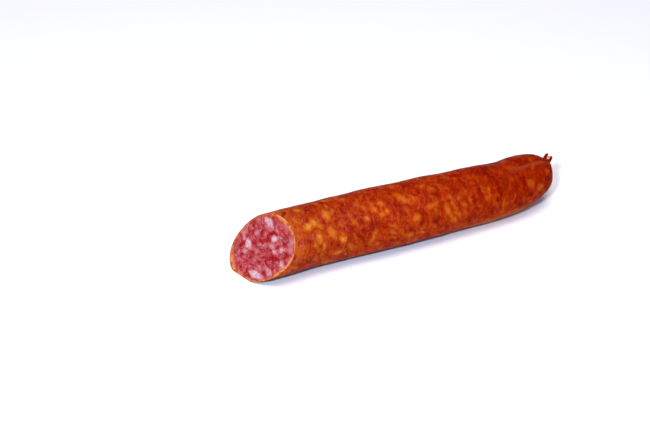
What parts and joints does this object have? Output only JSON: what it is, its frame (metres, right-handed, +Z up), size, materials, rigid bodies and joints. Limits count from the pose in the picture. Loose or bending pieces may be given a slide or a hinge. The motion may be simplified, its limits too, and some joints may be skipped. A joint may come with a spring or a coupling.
{
  "type": "cured sausage",
  "caption": "Dry-cured paprika sausage with a marbled knife cut at one end and gathered casing at the other, lying on its side.",
  "frame": {"origin": "middle of the footprint, on the surface the sausage lies on", "axes": "+X along the length, from the cut face towards the gathered end; +Z up; the cut face looks towards -X, up and a little to -Y"},
  "size_m": [0.2062, 0.039, 0.037],
  "materials": {
    "casing": "thin smoked casing, mottled dark red and orange with blurred fat grains showing through, low greasy sheen",
    "cut_meat": "moist knife cut, deep red lean with pinkish-white fat grains"
  },
  "bodies": {
    "root": {"sausage": "casing"}
  },
  "joints": []
}
